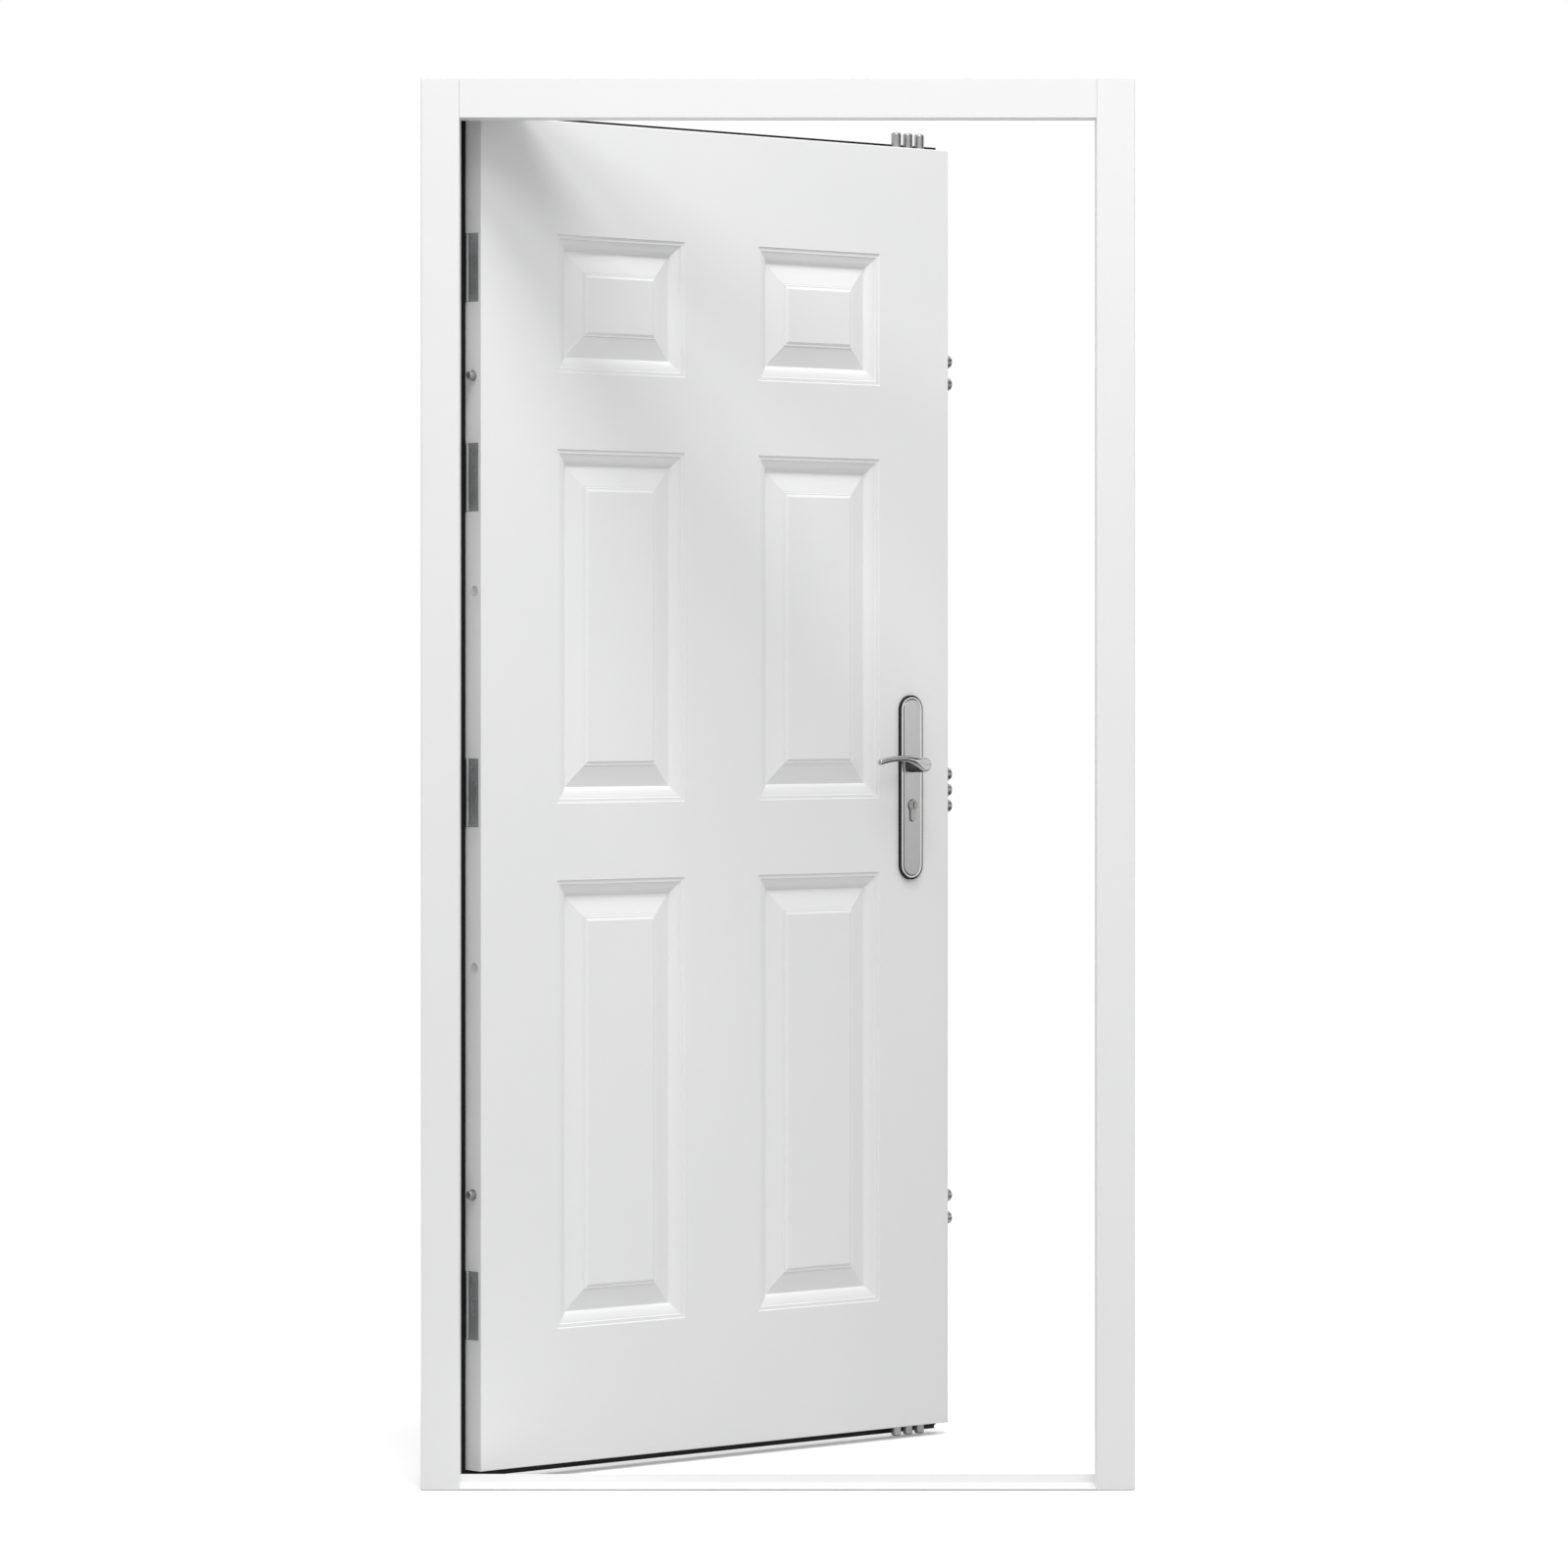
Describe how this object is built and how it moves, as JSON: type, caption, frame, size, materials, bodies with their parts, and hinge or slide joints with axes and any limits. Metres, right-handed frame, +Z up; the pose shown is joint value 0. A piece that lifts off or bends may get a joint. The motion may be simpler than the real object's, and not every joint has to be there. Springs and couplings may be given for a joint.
{
  "type": "six-panel steel door with frame",
  "caption": "Hinged panelled metal door in a rebated frame with a low threshold, lever handles, perimeter seal and sliding lock bolts",
  "frame": {"origin": "middle of the threshold's underside, at floor level", "axes": "+X towards the lock side seen from outside, +Y towards the inside, +Z up"},
  "size_m": [1.02, 0.7302, 2.015],
  "materials": {
    "white_paint": "satin powder coat",
    "zinc_steel": "zinc plated",
    "bolt_steel": "satin",
    "black_rubber": "matt",
    "grey_strip": "mill finish",
    "plug_plastic": "moulded",
    "paper_core": "paper honeycomb",
    "handle_chrome": "satin chrome",
    "cylinder_nickel": "nickel plated"
  },
  "bodies": {
    "frame": {"hinge_jamb": "white_paint", "lock_jamb": "white_paint", "head": "white_paint", "threshold": "white_paint", "top_hinge_frame_leaf": "zinc_steel", "upper_hinge_frame_leaf": "zinc_steel", "lower_hinge_frame_leaf": "zinc_steel", "bottom_hinge_frame_leaf": "zinc_steel", "hinge_pins": "zinc_steel"},
    "leaf": {"outer_skin": "white_paint", "inner_skin": "white_paint", "core": "paper_core", "top_hinge_door_leaf": "zinc_steel", "upper_hinge_door_leaf": "zinc_steel", "lower_hinge_door_leaf": "zinc_steel", "bottom_hinge_door_leaf": "zinc_steel", "seal_top": "black_rubber", "seal_bottom": "black_rubber", "seal_hinge_side": "black_rubber", "seal_lock_side": "black_rubber", "bottom_strip": "grey_strip", "dog_bolts": "bolt_steel", "hole_plugs": "plug_plastic", "upper_lock_faceplate": "zinc_steel", "middle_lock_faceplate": "zinc_steel", "lower_lock_faceplate": "zinc_steel", "outside_backplate": "handle_chrome", "inside_backplate": "handle_chrome", "lock_cylinder": "cylinder_nickel"},
    "levers": {"outside_lever": "handle_chrome", "inside_lever": "handle_chrome", "lever_spindle": "zinc_steel"},
    "side_bolts": {"upper_side_bolts": "bolt_steel", "middle_side_bolts": "bolt_steel", "lower_side_bolts": "bolt_steel"},
    "top_bolts": {"top_bolts": "bolt_steel"},
    "bottom_bolts": {"bottom_bolts": "bolt_steel"}
  },
  "joints": [
    {"name": "leaf_swing", "type": "hinge", "parent": "frame", "child": "leaf", "pos_m": [-0.465, 0.0871, 1], "axis": [0, 0, 1], "range_deg": [-42.08, 67.92]},
    {"name": "lever_turn", "type": "hinge", "parent": "leaf", "child": "levers", "pos_m": [0.20091, 0.61347, 1.028], "axis": [-0.6702, 0.7422, 0], "range_deg": [-45, 45], "stiffness_Nm_per_rad": 3, "springref_deg": 2.86},
    {"name": "side_bolt_throw", "type": "slide", "parent": "leaf", "child": "side_bolts", "axis": [0.7422, 0.6702, 0], "range_m": [-0.02, 0]},
    {"name": "top_bolt_throw", "type": "slide", "parent": "leaf", "child": "top_bolts", "axis": [0, 0, 1], "range_m": [-0.024, 0]},
    {"name": "bottom_bolt_throw", "type": "slide", "parent": "leaf", "child": "bottom_bolts", "axis": [0, 0, -1], "range_m": [-0.015, 0]}
  ],
  "couplings": [
    {"joint": "top_bolt_throw", "follows": "side_bolt_throw", "ratio": 1.2},
    {"joint": "bottom_bolt_throw", "follows": "side_bolt_throw", "ratio": 0.75}
  ]
}
